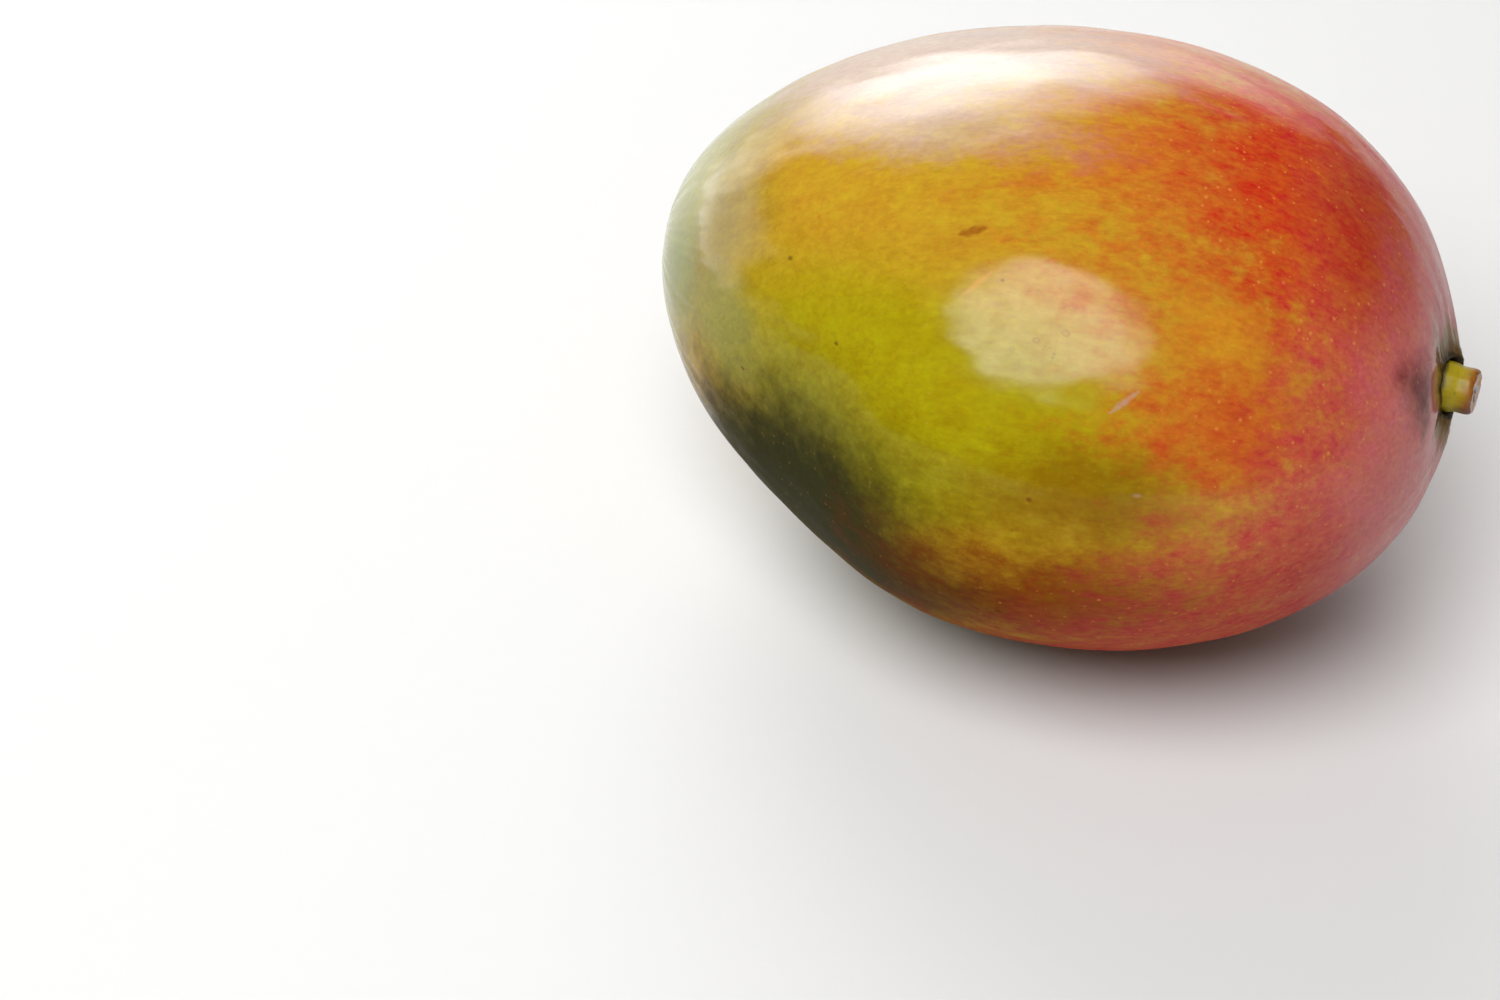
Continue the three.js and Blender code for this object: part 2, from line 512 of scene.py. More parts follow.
@dataclass(frozen=True)
class Fold:
    """A streak of colour in the folds that run out from the stalk, between two strengths of their noise.
    The dark ones are painted shade in the creases and the pale ones painted highlight on the ridges.
    """

    outer: float
    inner: float
    faint: float
    full: float
    cover: float
    hue: Hue


STALK_FOLD_SHADE_AND_HIGHLIGHT = (
    # Painted shade in the creases.
    Fold(17, 5, 0.42, 0.60, 0.30, Hue.PURPLE_AND_SHADE),
    # Painted highlight on the ridges between them.
    Fold(21, 8, 0.50, 0.36, 0.35, Hue.BLOOM_AND_HIGHLIGHT),
)
STALK_SHADE_RINGS = (
    # Painted shade round the socket: olive skin that darkens to brown, then to near black at the crevice
    # round the stub.
    Ring(11, 6.5, 6, 0.80, Hue.MOSS),
    Ring(7.2, 4.8, 3, 0.60, Hue.UMBER_AND_SHADE),
    Ring(4.55, 4.2, 0.9, 1.0, Hue.HOLLOW_SHADE),
)


@dataclass(frozen=True)
class WaxySkin:
    """The skin's finish: soft areas of colour, fine streaks along the fruit, pale pores and wax, with
    painted shade and painted highlight among the areas of colour.
    """

    ground: Hue = Hue.GOLD
    dabs: tuple[Dab, ...] = SKIN_DABS
    marks: tuple[Dab, ...] = SKIN_MARKS
    sheens: tuple[Sheen, ...] = SKIN_SHEENS
    folds: tuple[Fold, ...] = STALK_FOLD_SHADE_AND_HIGHLIGHT
    rings: tuple[Ring, ...] = STALK_SHADE_RINGS
    streak: Cloud = Cloud(2.4 * MM, 0.8 * MM, 3, 0.65)
    mottle: Cloud = Cloud(5.5 * MM, 3.8 * MM, 6, 0.72)
    freckle: Cloud = Cloud(1.0 * MM, 1.0 * MM, 3, 0.65)
    drift: Cloud = Cloud(26 * MM, 22 * MM, 2, 0.5)
    drift_reach: float = 0.20
    tear: Cloud = Cloud(8 * MM, 5 * MM, 5, 0.65)
    tear_reach: float = 0.11
    ripple: Cloud = Cloud(4.2 * MM, 2.8 * MM, 4, 0.62)
    ray: Cloud = Cloud(30 * MM, 0.34 * MM, 3, 0.6)
    warmth: float = 0.505
    pores_apart: float = 1.5 * MM
    pore_radius: float = 0.22 * MM
    smallest_pore: float = 0.45
    pore_edge: float = 1.3
    pore_core: float = 0.3
    pore_on_yellow: float = 0.09
    pore_on_red: float = 0.43
    yellow_ratio: float = 0.35
    red_ratio: float = 0.12
    wax: float = 0.60
    wax_swing: float = 0.2
    wax_roughness: float = 0.125
    wax_ior: float = 1.45
    dull: float = 0.52
    smooth: float = 0.42
    relief: float = 0.22 * MM

    def material(self) -> bpy.types.Material:
        """Makes the skin's material.

        Returns:
            The material.
        """
        bench = Bench("mango_skin")
        place = bench.attribute("place")
        spot = bench.spot()
        streaks = bench.clouds(spot, self.streak)
        mottle = bench.clouds(spot, self.mottle)
        freckle = bench.clouds(spot, self.freckle)
        colour = self._areas(bench, place, spot, mottle)
        red = self._redness(bench, colour)

        tone = {
            "Hue": self.warmth + mottle.sway(0.06) + streaks.sway(0.04),
            "Value": 1 + streaks.sway(0.30) + freckle.sway(0.35) + mottle.sway(0.20),
            "Color": colour,
        }
        colour = bench.add("ShaderNodeHueSaturation", {}, tone).outputs[0]
        pore = self._pores(bench, spot)
        pore_cover = self.pore_on_yellow + (self.pore_on_red - self.pore_on_yellow) * red
        colour = bench.mix(pore * pore_cover, colour, Hue.HONEY)
        for mark in self.marks:
            colour = bench.mix(self._cover(bench, place, mark, freckle), colour, mark.hue)
        colour = self._round_the_stalk(bench, colour)

        ripple = bench.clouds(spot, self.ripple)
        height = ripple * 0.75 + streaks * 0.08 + freckle * 0.14 + pore * 0.03
        shader = {
            "Base Color": colour,
            "Roughness": bench.step(mottle, NOISE_FAINT, NOISE_STRONG, self.dull, self.smooth),
            "IOR": self.wax_ior,
            "Specular IOR Level": 0.0,
            "Coat Weight": self._wax(bench, place, mottle),
            "Coat Roughness": self.wax_roughness,
            "Coat IOR": self.wax_ior,
        }
        return bench.finish(shader, height, self.relief)

    def _areas(self, bench: Bench, place: Socket, spot: Socket, mottle: Value) -> Socket:
        """Lays the areas of colour over the ground, with drifting and torn edges.

        Args:
            bench: The material.
            place: The places on the unit sphere.
            spot: Places on the fruit.
            mottle: The noise that breaks up the edges.

        Returns:
            The colour.
        """
        drifted = self._pushed(bench, place, bench.cloud(spot, self.drift), self.drift_reach)
        torn = self._pushed(bench, drifted, bench.cloud(spot, self.tear), self.tear_reach)
        colour = self.ground.rgba
        for dab in self.dabs:
            colour = bench.mix(self._cover(bench, torn, dab, mottle), colour, dab.hue)
        return colour

    def _wax(self, bench: Bench, place: Socket, mottle: Value) -> Value:
        """How thick the wax is.

        Args:
            bench: The material.
            place: The places on the unit sphere.
            mottle: The noise that makes it uneven.

        Returns:
            The wax's strength.
        """
        thin, thick = self.wax * (1 - self.wax_swing), self.wax * (1 + self.wax_swing)
        wax = bench.step(mottle, NOISE_FAINT, NOISE_STRONG, thin, thick)
        for sheen in self.sheens:
            share = self._cover(bench, place, sheen, mottle)
            wax = wax * (1 - share) + share * sheen.wax
        return wax

    def _round_the_stalk(self, bench: Bench, colour: Socket) -> Socket:
        """Paints shade into the socket and the folds that run out from it, and paints highlight on the
        ridges between them.

        Args:
            bench: The material.
            colour: The skin's colour.

        Returns:
            The colour with the stalk end finished.
        """
        round_stalk = bench.attribute("round_stalk")
        away = bench.part(round_stalk, 0) / MM
        rays = bench.clouds(bench.vector("MULTIPLY", round_stalk, (1, MM, MM)), self.ray)
        for fold in self.folds:
            near = bench.step(away, fold.outer, fold.inner)
            in_fold = bench.step(rays, fold.faint, fold.full)
            colour = bench.mix(near * in_fold * fold.cover, colour, fold.hue)
        for ring in self.rings:
            near = bench.step(away + rays.sway(ring.wander), ring.outer, ring.inner)
            colour = bench.mix(near * ring.cover, colour, ring.hue)
        return colour

    def _pushed(self, bench: Bench, place: Socket, by: bpy.types.Node, reach: float) -> Socket:
        """Moves places about by the colour of a cloudy noise.

        Args:
            bench: The material.
            place: The places.
            by: The noise, whose middle grey moves nothing.
            reach: The most that a place moves.

        Returns:
            The moved places.
        """
        centred = bench.vector("SUBTRACT", by.outputs["Color"], (0.5, 0.5, 0.5))
        return bench.vector("MULTIPLY_ADD", centred, (reach,) * 3, place)

    def _cover(self, bench: Bench, place: Socket, area: Area, breaking: Value) -> Value:
        """How much one area covers, over the whole skin.

        Args:
            bench: The material.
            place: The places on the unit sphere.
            area: The area.
            breaking: The noise that breaks up its edge.

        Returns:
            Its cover, from 0 to 1.
        """
        narrowing = (1 / area.reach_along, 1 / area.reach_around, 1 / area.reach_around)
        start = tuple(-part * side for part, side in zip(area.centre, narrowing))
        away = bench.vector("MULTIPLY_ADD", place, narrowing, start)
        distance = bench.length(away) + breaking.sway(area.ragged)
        return bench.step(distance, area.core, AREA_EDGE, area.cover, 0.0)

    def _redness(self, bench: Bench, colour: Socket) -> Value:
        """How red a colour is, from 0 for yellow and green to 1, by its green beside its red."""
        ratio = bench.channel(colour, 1) / (bench.channel(colour, 0) + 0.001)
        return bench.step(ratio, self.yellow_ratio, self.red_ratio)

    def _pores(self, bench: Bench, spot: Socket) -> Value:
        """The pale pores, as a share of their colour at each place.

        Args:
            bench: The material.
            spot: Places on the fruit.

        Returns:
            1 in a pore and 0 between pores.
        """
        distance, chance = bench.dots(spot, self.pores_apart)
        radius = self.pore_radius * (self.smallest_pore + chance)
        return bench.step(distance / radius, self.pore_edge, self.pore_core)


@dataclass(frozen=True)
class GreenStalk:
    """The stub's finish: green-yellow and ribbed, brown towards the snap, with pale pith, and painted shade
    at its foot and in the slit of its snapped end.
    """

    fibre: Cloud = Cloud(0.9, 0.09)
    blotch: Cloud = Cloud(1.6 * MM, 1.6 * MM)
    wax: float = 0.15
    wax_roughness: float = 0.3
    smooth: float = 0.45
    dull: float = 0.6
    relief: float = 0.12 * MM

    def material(self) -> bpy.types.Material:
        """Makes the stub's material.

        Returns:
            The material.
        """
        bench = Bench("mango_stalk")
        run = bench.attribute("run")
        out = bench.part(run, 0)
        fibre = bench.clouds(run, self.fibre)
        blotch = bench.clouds(bench.spot(), self.blotch)

        colour = bench.mix(bench.step(blotch, 0.22, 0.52), Hue.MOSS.rgba, Hue.STEM)
        ragged = out + fibre.sway(0.5) + blotch.sway(0.3)
        colour = bench.mix(bench.step(ragged, 0.25, 0.90) * 0.9, colour, Hue.TAN)
        low = bench.step(bench.part(run, 2), 0.2, -0.5)
        colour = bench.mix(bench.step(ragged, 0.2, 0.8) * low * 0.85, colour, Hue.BARK)
        colour = bench.mix(bench.step(ragged, 0.9, 1.05) * 0.6, colour, Hue.PURPLE_AND_SHADE)
        colour = self._snapped_end(bench, colour, fibre, blotch)
        # Painted shade on the stub's foot, where it sinks into the socket.
        foot = bench.step(out + blotch.sway(0.2), -0.04, -0.20)
        colour = bench.mix(foot * 0.8, colour, Hue.HOLLOW_SHADE)
        shader = {
            "Base Color": bench.scaled(colour, 1 + fibre.sway(0.3)),
            "Specular IOR Level": 0.3,
            "Roughness": bench.step(blotch, NOISE_FAINT, NOISE_STRONG, self.smooth, self.dull),
            "Coat Weight": self.wax,
            "Coat Roughness": self.wax_roughness,
        }
        return bench.finish(shader, fibre * 0.7 + blotch * 0.3, self.relief)

    def _snapped_end(self, bench: Bench, colour: Socket, fibre: Value, blotch: Value) -> Socket:
        """Gives the snapped end its pale pith, and paints shade into its hollow slit.

        Args:
            bench: The material.
            colour: The stub's colour.
            fibre: The noise that frays the pith's edge.
            blotch: The noise that makes the pith uneven.

        Returns:
            The colour with the snapped end finished.
        """
        cut = bench.attribute("cut")
        pith = bench.step(bench.part(cut, 0) + fibre.sway(0.4), 0.4, 0.6)
        pale = bench.mix(bench.step(blotch, 0.4, 0.7), Hue.PITH.rgba, Hue.HONEY)
        colour = bench.mix(pith, colour, pale)
        # Painted shade in the hollow slit.
        return bench.mix(bench.step(bench.part(cut, 1), 0.3, 0.8), colour, Hue.HOLLOW_SHADE)


@dataclass(frozen=True)
class PaleFloor:
    """The floor's finish: a plain, matt, pale paper."""

    tone: tuple[float, float, float] = (0.6, 0.6, 0.597)
    grain: Cloud = Cloud(4 * MM, 4 * MM)
    grain_contrast: float = 0.01
    roughness: float = 0.7
    relief: float = 0.02 * MM

    def material(self) -> bpy.types.Material:
        """Makes the floor's material.

        Returns:
            The material.
        """
        bench = Bench("pale_floor")
        grain = bench.clouds(bench.spot(), self.grain)
        tone = bench.scaled(self.tone, 1 + grain.sway(self.grain_contrast))
        return bench.finish({"Base Color": tone, "Roughness": self.roughness}, grain, self.relief)


class Smooth:
    """Small shaping functions."""

    @staticmethod
    def step(value: float, start: float, end: float) -> float:
        """A smooth step from 0 at the start to 1 at the end."""
        share = min(1.0, max(0.0, (value - start) / (end - start)))
        return share * share * (3 - 2 * share)

    @staticmethod
    def bell(value: float, middle: float, spread: float) -> float:
        """A bell curve of height 1."""
        return math.exp(-(((value - middle) / spread) ** 2))

    @staticmethod
    def swell(place: Vector, size: float, seed: int) -> float:
        """A gentle noise from about -1 to 1, with swells of the given size."""
        return noise.noise(place / size + Vector((seed * 7.3, seed * 3.1, seed * 5.7)))


def make_piece(name: str, shape: bmesh.types.BMesh, material: bpy.types.Material) -> bpy.types.Object:
    """Turns a finished shape into a piece of the scene.

    Args:
        name: The piece's name.
        shape: Its shape, which is used up.
        material: Its material.

    Returns:
        The piece.
    """
    for face in shape.faces:
        face.smooth = True
    mesh = bpy.data.meshes.new(name)
    shape.to_mesh(mesh)
    shape.free()
    mesh.materials.append(material)
    piece = bpy.data.objects.new(name, mesh)
    bpy.context.scene.collection.objects.link(piece)
    return piece


@dataclass
class Stalk:
    """The stub of the stalk: a swollen foot, a waist, ribs, and a snapped end with sunken pith.

    The pith's sinks are in millimetres, in even steps from near the rim to the middle.
    """

    lean: float = math.radians(-8)
    lift: float = math.radians(-2)
    out: float = 4.2 * MM
    inside: float = 1.2 * MM
    foot_radius: float = 3.8 * MM
    tip_radius: float = 3.35 * MM
    waist: float = 0.22 * MM
    swelling: float = 0.12 * MM
    swelling_place: float = 0.38
    swelling_spread: float = 0.14
    corner: float = 0.8 * MM
    corner_steps: int = 6
    pith_sinks: tuple[float, ...] = (0.03, 0.06, 0.08, 0.10, 0.14, 0.20, 0.25, 0.28, 0.30)
    ribs: int = 9
    rib_height: float = 0.07 * MM
    rib_twist: float = 60.0
    chip_depth: float = 0.22 * MM
    snap_tilt: float = 0.30 * MM
    snap_side: float = math.radians(141)
    pith_edge: float = 0.92
    pith_full: float = 0.82
    slit_off: float = 0.4 * MM
    slit_width: float = 0.55 * MM
    slit_length: float = 1.5 * MM
    steps_round: int = 144
    steps_long: int = 40
    foot: Vector = field(default_factory=Vector)

    @property
    def axes(self) -> Matrix:
        """From the stub's own axes, with X out along it, to the fruit's."""
        turn = Euler((0, -self.lift, self.lean), "XYZ").to_matrix().to_4x4()
        return Matrix.Translation(self.foot) @ turn

    def radius(self, share: float) -> float:
        """How thick the stub is at one place.

        Args:
            share: The place, as a share of the length from the inner end to the tip.

        Returns:
            Its radius there.
        """
        plain = self.foot_radius + (self.tip_radius - self.foot_radius) * share
        swollen = self.swelling * Smooth.bell(share, self.swelling_place, self.swelling_spread)
        return plain - self.waist * math.sin(math.pi * share) ** 2 + swollen

    def profile(self) -> list[tuple[float, float]]:
        """The stub's outline, from the middle of its inner end to the middle of its snapped end.

        Returns:
            Distances along it and out from its axis.
        """
        start = -self.inside
        end = self.out - self.corner
        points = [(start, 0.0), (start, 0.5 * self.foot_radius)]
        for step in range(self.steps_long + 1):
            share = step / self.steps_long
            points.append((start + (end - start) * share, self.radius(share)))
        rim = self.tip_radius - self.corner
        for step in range(1, self.corner_steps + 1):
            angle = math.pi / 2 * step / self.corner_steps
            points.append((end + self.corner * math.sin(angle), rim + self.corner * math.cos(angle)))
        for step, sink in enumerate(self.pith_sinks):
            points.append((self.out - sink * MM, self.tip_radius * (0.8 - 0.1 * step)))
        return points

    def build(self) -> bpy.types.Object:
        """Makes the stub.

        Returns:
            The stub.
        """
        shape = bmesh.new()
        points = [shape.verts.new((along, 0, out)) for along, out in self.profile()]
        edges = [shape.edges.new(pair) for pair in zip(points, points[1:])]
        bmesh.ops.spin(
            shape, geom=points + edges, axis=(1, 0, 0), cent=(0, 0, 0), angle=math.tau,
            steps=self.steps_round, use_merge=True, use_duplicate=False,
        )
        bmesh.ops.remove_doubles(shape, verts=shape.verts, dist=1e-6)
        bmesh.ops.recalc_face_normals(shape, faces=shape.faces)
        self._mark(shape)
        self._rib(shape)
        bmesh.ops.transform(shape, matrix=self.axes, verts=shape.verts)
        return make_piece("stalk_stub", shape, GreenStalk().material())

    def _mark(self, shape: bmesh.types.BMesh) -> None:
        """Gives each vertex its place along and round the stub, and whether it is on the snapped end.

        Args:
            shape: The stub, on its own axes.
        """
        run = shape.verts.layers.float_vector.new("run")
        cut = shape.verts.layers.float_vector.new("cut")
        for vertex in shape.verts:
            along, across, up = vertex.co
            away = math.hypot(across, up)
            turn = Vector((across, up)).normalized() if away > 0 else Vector((0, 1))
            vertex[run] = (along / self.out, turn.x, turn.y)
            on_face = Smooth.step(along, self.out - self.corner - 0.5 * MM, self.out - self.corner)
            inner = Smooth.step(away, self.pith_edge * self.tip_radius, self.pith_full * self.tip_radius)
            slit = math.hypot((across + self.slit_off) / self.slit_width, up / self.slit_length)
            slit += 0.5 * Smooth.swell(vertex.co, 0.5 * MM, 21)
            hollow = Smooth.step(slit, 1.25, 0.75)
            vertex[cut] = (on_face * inner, on_face * hollow, 0)

    def _rib(self, shape: bmesh.types.BMesh) -> None:
        """Raises the ribs, and breaks up the snapped end.

        Args:
            shape: The stub, on its own axes.
        """
        for vertex in shape.verts:
            along, across, up = vertex.co
            away = math.hypot(across, up)
            if away < 0.1 * MM:
                continue
            turn = math.atan2(up, across)
            place = Vector((math.cos(turn), math.sin(turn), along / (4 * MM)))
            wander = 0.5 * Smooth.swell(place, 1.2, 3)
            rib = math.cos(self.ribs * turn + 2.2 * wander + self.rib_twist * along)
            uneven = Smooth.swell(place, 0.45, 5)
            share = away / self.foot_radius
            grow = self.rib_height * (0.75 * rib + 0.9 * uneven) * share**2
            vertex.co.y *= 1 + grow / away
            vertex.co.z *= 1 + grow / away
            ending = Smooth.step(along, self.out - 1.6 * MM, self.out - 0.4 * MM)
            if ending > 0:
                chips = Smooth.swell(place, 0.3, 8) + 0.6 * Smooth.swell(place, 0.12, 9)
                tilt = self.snap_tilt * math.cos(turn - self.snap_side) * share
                sink = self.chip_depth * (1 - chips * share) + tilt
                vertex.co.x -= ending * max(0.0, sink)


@dataclass(frozen=True)
class Swell:
    """One layer of the skin's gentle swells, drawn out along the fruit or round."""

    height: float
    size: float
    seed: int
    drawn_out: bool = False


SKIN_SWELLS = (
    Swell(0.16 * MM, 32 * MM, 1),
    Swell(0.13 * MM, 10 * MM, 2),
    Swell(0.12 * MM, 4.6 * MM, 4, drawn_out=True),
    Swell(0.035 * MM, 2.2 * MM, 6, drawn_out=True),
)


@dataclass
class Fruit:
    """The fruit: an egg with a bowed middle line, and the skin's own lumps, lip and socket."""

    length: float = 120 * MM
    width: float = 103.8 * MM
    thickness: float = 82.8 * MM
    shoulder: float = 0.075
    bluntness: float = 0.067
    skew: float = -0.105
    bow: float = 0.065
    hook: float = -0.083
    hollow_depth: float = 0.1
    hollow_place: float = -0.6
    hollow_spread: float = 0.25
    lip_height: float = 1.2 * MM
    lip_rise: float = 4 * MM
    lip_spread: float = 3.5 * MM
    stalk_depth: float = 1.1 * MM
    stalk_rise: float = 2.6 * MM
    stalk_side: float = -1.5 * MM
    socket_floor: float = -1.5 * MM
    socket_radius: float = 4.15 * MM
    socket_wall: float = 0.5 * MM
    socket_wobble: float = 0.15 * MM
    fold_height: float = 0.45 * MM
    fold_place: float = 7.5 * MM
    fold_spread: float = 5 * MM
    crinkle_height: float = 0.35 * MM
    crinkle_place: float = 5.3 * MM
    crinkle_spread: float = 0.8 * MM
    dip_side: float = math.radians(141)
    dip_depth: float = 1.7 * MM
    dip_place: float = 4.5 * MM
    dip_spread: float = 8.5 * MM
    dip_start: float = -0.4
    dip_full: float = 0.7
    dark_reach: float = 0.9 * MM
    depth_weight: float = 0.35
    stalk_end_radius: float = 30 * MM
    stalk_end_depth: float = 20 * MM
    swells: tuple[Swell, ...] = SKIN_SWELLS
    swell_stretch: float = 1.8
    grain_radius: float = 45 * MM
    least_ring: float = 0.15
    sides_round: int = 384
    sides_along: int = 254
    crowding: float = 0.38
    crowding_at_ends: float = 0.19
    heart: Vector = field(default_factory=Vector)

    def middle_line(self, along: float) -> float:
        """How far the middle line lies to the side.

        Args:
            along: The place along the fruit, from -1 at the tip to 1 at the stalk.

        Returns:
            The distance towards +Y.
        """
        bow = self.bow * (along**2 - 0.2)
        hook = self.hook * (along**3 - 0.6 * along)
        return self.length / 2 * (bow + self.skew * along + hook)

    def skin_point(self, place: Vector) -> Vector:
        """Moves a point of the unit sphere to the plain skin.

        Args:
            place: The point on the sphere.

        Returns:
            Where it lies on the skin, from the fruit's own middle.
        """
        girth = 1 + self.shoulder * place.x + self.bluntness * place.x**3
        ring = math.hypot(place.y, place.z)
        belly = max(0.0, -place.y / ring) ** 2 if ring > 0 else 0.0
        near_hollow = Smooth.bell(place.x, self.hollow_place, self.hollow_spread)
        size = girth * (1 - self.hollow_depth * belly * near_hollow)
        across = self.width / 2 * place.y * size
        up = self.thickness / 2 * place.z * size
        swelling = self.lip_height * Smooth.bell(math.hypot(across, up - self.lip_rise), 0, self.lip_spread)
        along = self.length / 2 * place.x + (swelling if place.x > 0 else 0.0)
        return Vector((along, across + self.middle_line(place.x), up))

    def stalk_foot(self) -> Vector:
        """Where the stalk's foot is, from the fruit's own middle."""
        side = self.middle_line(1) + self.stalk_side
        return Vector((self.length / 2 - self.stalk_depth, side, self.stalk_rise))

    def _sphere(self) -> bmesh.types.BMesh:
        """A unit sphere with one pole under the stalk, where its sides crowd together.

        Returns:
            The sphere.
        """
        shape = bmesh.new()
        bmesh.ops.create_uvsphere(
            shape, u_segments=self.sides_round, v_segments=self.sides_along, radius=1,
        )
        for vertex in shape.verts:
            angle = math.acos(min(1.0, max(-1.0, vertex.co.z)))
            moved = angle - self.crowding * math.sin(angle) - self.crowding_at_ends * math.sin(2 * angle)
            ring = Vector((vertex.co.x, vertex.co.y))
            ring = ring.normalized() * math.sin(moved) if ring.length > 1e-7 else Vector((0, 0))
            vertex.co = (ring.x, ring.y, math.cos(moved))
        across = self.stalk_side / (self.width / 2)
        up = self.stalk_rise / (self.thickness / 2)
        turn = Vector((0, 0, 1)).rotation_difference(Vector((1, across, up)).normalized())
        bmesh.ops.rotate(shape, verts=shape.verts, cent=(0, 0, 0), matrix=turn.to_matrix())
        return shape

    def _egg(self) -> bmesh.types.BMesh:
        """The plain skin, about the fruit's own middle. Each vertex keeps its place on the sphere.

        Returns:
            The skin.
        """
        shape = self._sphere()
        place_layer = shape.verts.layers.float_vector.new("place")
        grain_layer = shape.verts.layers.float_vector.new("grain")
        for vertex in shape.verts:
            place = vertex.co.normalized()
            round_scale = self.grain_radius / max(math.hypot(place.y, place.z), self.least_ring)
            vertex[place_layer] = place
            vertex[grain_layer] = (place.x * self.length / 2, place.y * round_scale, place.z * round_scale)
            vertex.co = self.skin_point(place)
        return shape

    def _settle(self, shape: bmesh.types.BMesh) -> None:
        """Works out where the fruit's middle is, so that the skin fills the fruit's own box.

        Args:
            shape: The skin, about the fruit's own middle.
        """
        low, high = (Vector(corner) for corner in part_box("fruit"))
        least = min(vertex.co.y for vertex in shape.verts)
        top = max(vertex.co.z for vertex in shape.verts)
        self.heart = Vector((low.x + self.length / 2, low.y - least, high.z - top))

    def _lump(self, shape: bmesh.types.BMesh) -> None:
        """Gives the skin the gentle swells that break up its shine.

        Args:
            shape: The skin, about the fruit's own middle.
        """
        shape.normal_update()
        grain_layer = shape.verts.layers.float_vector["grain"]
        moves = []
        for vertex in shape.verts:
            grain = vertex[grain_layer]
            drawn = Vector((grain.x / self.swell_stretch, grain.y, grain.z))
            height = 0.0
            for swell in self.swells:
                place = drawn if swell.drawn_out else vertex.co
                height += swell.height * Smooth.swell(place, swell.size, swell.seed)
            moves.append((vertex, vertex.normal * height))
        for vertex, move in moves:
            vertex.co += move

    def _open_socket(self, shape: bmesh.types.BMesh, stalk: Stalk) -> None:
        """Sinks the socket, and folds the skin round it.

        Args:
            shape: The skin, about the fruit's own middle.
            stalk: The stub, whose foot is already placed about that middle.
        """
        into = stalk.axes.inverted()
        outward = stalk.axes.to_3x3() @ Vector((1, 0, 0))
        round_stalk = shape.verts.layers.float_vector.new("round_stalk")
        for vertex in shape.verts:
            local = into @ vertex.co
            away = math.hypot(local.y, local.z)
            turn = math.atan2(local.z, local.y)
            open_side = Smooth.step(math.cos(turn - self.dip_side), self.dip_start, self.dip_full)
            shade = max(0.0, away - self.dark_reach * open_side)
            depth = -min(0.0, local.x)
            vertex[round_stalk] = (shade + self.depth_weight * depth, math.cos(turn), math.sin(turn))
            if depth > self.stalk_end_depth or away > self.stalk_end_radius:
                continue
            circle = Vector((math.cos(turn), math.sin(turn), 0))
            rise = self._rise(circle, away, open_side)
            rim = self.socket_radius + self.socket_wobble * Smooth.swell(circle, 0.25, 14)
            sunk = Smooth.step(away, rim + self.socket_wall / 2, rim - self.socket_wall / 2)
            rise = rise * (1 - sunk) + sunk * (self.socket_floor - local.x)
            vertex.co += outward * rise

    def _rise(self, circle: Vector, away: float, open_side: float) -> float:
        """How far the folds, the crinkles and the dip lift the skin round the stalk.

        Args:
            circle: Which way the place lies from the stalk's axis.
            away: How far it lies from the axis.
            open_side: How much it is on the side of the dip, from 0 to 1.

        Returns:
            The rise.
        """
        folds = 0.7 * Smooth.swell(circle, 0.42, 11) + 0.5 * Smooth.swell(circle, 0.2, 12)
        rise = self.fold_height * folds * Smooth.bell(away, self.fold_place, self.fold_spread)
        crinkle = self.crinkle_height * Smooth.swell(circle, 0.35, 13)
        rise += crinkle * Smooth.bell(away, self.crinkle_place, self.crinkle_spread)
        return rise - self.dip_depth * open_side * Smooth.bell(away, self.dip_place, self.dip_spread)

    def _press_flat(self, shape: bmesh.types.BMesh) -> None:
        """Presses the underside flat on the surface that the fruit rests on."""
        for vertex in shape.verts:
            vertex.co.z = max(vertex.co.z, 0.0)

    def build(self, stalk: Stalk) -> bpy.types.Object:
        """Makes the fruit, and places the stalk's foot.

        Args:
            stalk: The stub that stands in the socket.

        Returns:
            The fruit.
        """
        shape = self._egg()
        self._settle(shape)
        self._lump(shape)
        stalk.foot = self.stalk_foot()
        self._open_socket(shape, stalk)
        stalk.foot += self.heart
        bmesh.ops.translate(shape, verts=shape.verts, vec=self.heart)
        self._press_flat(shape)
        bmesh.ops.recalc_face_normals(shape, faces=shape.faces)
        return make_piece("mango_fruit", shape, WaxySkin().material())


def direction(azimuth: float, elevation: float) -> Vector:
    """A direction away from the fruit.

    Args:
        azimuth: Degrees round from -Y towards +X.
        elevation: Degrees up from level.

    Returns:
        A vector of length 1.
    """
    turn, rise = math.radians(azimuth), math.radians(elevation)
    return Vector((math.sin(turn) * math.cos(rise), -math.cos(turn) * math.cos(rise), math.sin(rise)))


class PanelShape(Enum):
    """The outline of a light."""

    OBLONG = "RECTANGLE"
    OVAL = "ELLIPSE"


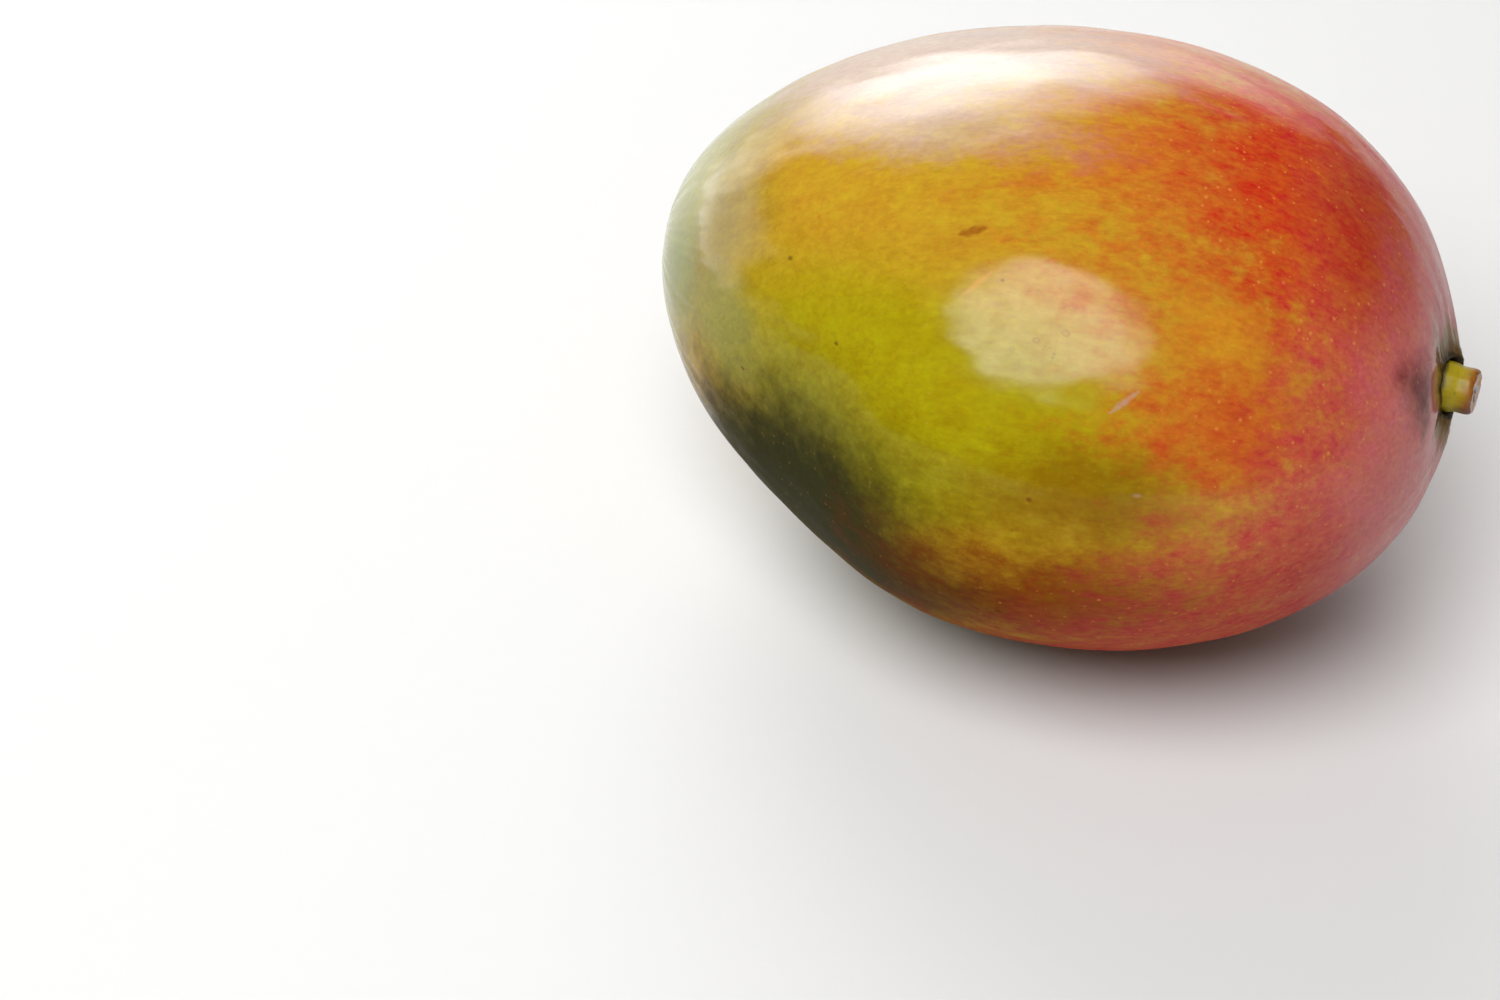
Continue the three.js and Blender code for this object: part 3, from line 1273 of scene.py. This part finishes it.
@dataclass(frozen=True)
class Panel:
    """A soft light: a plain glowing panel that faces the fruit.

    It may have several layers, which grow smaller down to its core, so that its edge fades.
    """

    name: str
    azimuth: float
    elevation: float
    distance: float
    width: float
    height: float
    glow: float
    shape: PanelShape = PanelShape.OBLONG
    layers: int = 1
    core: float = 1.0
    layer_gap: float = 10 * MM

    def build(self, middle: Vector) -> None:
        """Hangs the panel.

        Args:
            middle: The point that it faces.
        """
        for layer in range(self.layers):
            share = layer / max(1, self.layers - 1)
            self._hang(middle, layer, 1 - (1 - self.core) * share)

    def _hang(self, middle: Vector, layer: int, size: float) -> None:
        """Hangs one layer.

        Args:
            middle: The point that it faces.
            layer: Which layer it is, where each hangs a little nearer than the last.
            size: Its size, as a share of the whole panel's.
        """
        light = bpy.data.lights.new(self.name, "AREA")
        light.shape = self.shape.value
        light.size = self.width * size
        light.size_y = self.height * size
        area = light.size * light.size_y * (math.pi / 4 if self.shape is PanelShape.OVAL else 1)
        light.energy = self.glow / self.layers * math.pi * area
        lamp = bpy.data.objects.new(self.name, light)
        away = direction(self.azimuth, self.elevation)
        lamp.location = middle + away * (self.distance - self.layer_gap * layer)
        lamp.rotation_euler = away.to_track_quat("Z", "Y").to_euler()
        lamp.visible_camera = False
        bpy.context.scene.collection.objects.link(lamp)


STUDIO_PANELS = (
    Panel("overhead_panel", -19, 58, 1.3, 1.18, 1.10, 8.4, PanelShape.OVAL, layers=3, core=0.84),
    Panel("back_panel", -155, 27, 1.35, 1.30, 1.15, 7.0, PanelShape.OVAL, layers=8, core=0.32),
    Panel("back_sweep", -160, 12, 1.6, 2.6, 1.2, 1.3, PanelShape.OVAL, layers=2, core=0.8),
    Panel("left_card", -114, 2, 0.42, 0.34, 0.24, 2.0, layers=3, core=0.7),
)


@dataclass
class Studio:
    """The pale floor, the soft lights and the camera."""

    floor_radius: float = 3.0
    floor_sides: int = 96
    room_glow: float = 0.15
    azimuth: float = 12.0
    elevation: float = 38.0
    distance: float = 0.5535
    lens: float = 90.0
    sensor: float = 36.0
    clip_start: float = 10 * MM
    off_right: float = 43.9 * MM
    off_up: float = 25.8 * MM
    panels: tuple[Panel, ...] = STUDIO_PANELS

    def build(self, middle: Vector) -> None:
        """Sets everything up.

        Args:
            middle: The fruit's middle.
        """
        self._floor()
        self._room()
        for panel in self.panels:
            panel.build(middle)
        self._camera(middle)

    def _floor(self) -> None:
        """Lays the pale floor."""
        shape = bmesh.new()
        bmesh.ops.create_circle(
            shape, cap_ends=True, cap_tris=False, segments=self.floor_sides, radius=self.floor_radius,
        )
        make_piece("floor", shape, PaleFloor().material())

    def _room(self) -> None:
        """Gives the room an even, soft glow."""
        world = bpy.data.worlds.new("studio_room")
        world.use_nodes = True
        background = world.node_tree.nodes["Background"]
        background.inputs["Color"].default_value = (1.0, 1.0, 1.0, 1.0)
        background.inputs["Strength"].default_value = self.room_glow
        bpy.context.scene.world = world

    def _camera(self, middle: Vector) -> None:
        """Stands the camera, aimed a little past the fruit so that the fruit is up and right of centre.

        Args:
            middle: The fruit's middle.
        """
        back = direction(self.azimuth, self.elevation)
        turn = math.radians(self.azimuth)
        right = Vector((math.cos(turn), math.sin(turn), 0))
        up = back.cross(right)
        data = bpy.data.cameras.new("camera")
        data.lens = self.lens
        data.sensor_width = self.sensor
        data.clip_start = self.clip_start
        camera = bpy.data.objects.new("camera", data)
        camera.location = middle + back * self.distance - right * self.off_right - up * self.off_up
        camera.rotation_euler = Matrix((right, up, back)).transposed().to_euler()
        bpy.context.scene.collection.objects.link(camera)
        bpy.context.scene.camera = camera


def attach(piece: bpy.types.Object, node: str) -> None:
    """Makes a piece stand for a part of the frame.

    Args:
        piece: The piece.
        node: The part that it replaces.
    """
    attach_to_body(piece, "root")
    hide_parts(node)
    LOG.info("%s: %d faces, stands for %s", piece.name, len(piece.data.polygons), node)


def main() -> None:
    """Builds the mango and its studio."""
    logging.basicConfig(level=logging.INFO, format="%(name)s: %(message)s")
    stalk = Stalk()
    fruit = Fruit()
    attach(fruit.build(stalk), "fruit")
    attach(stalk.build(), "stalk")
    Studio().build(fruit.heart)
    bpy.context.scene.view_settings.view_transform = "Standard"


if __name__ == "__main__":
    main()
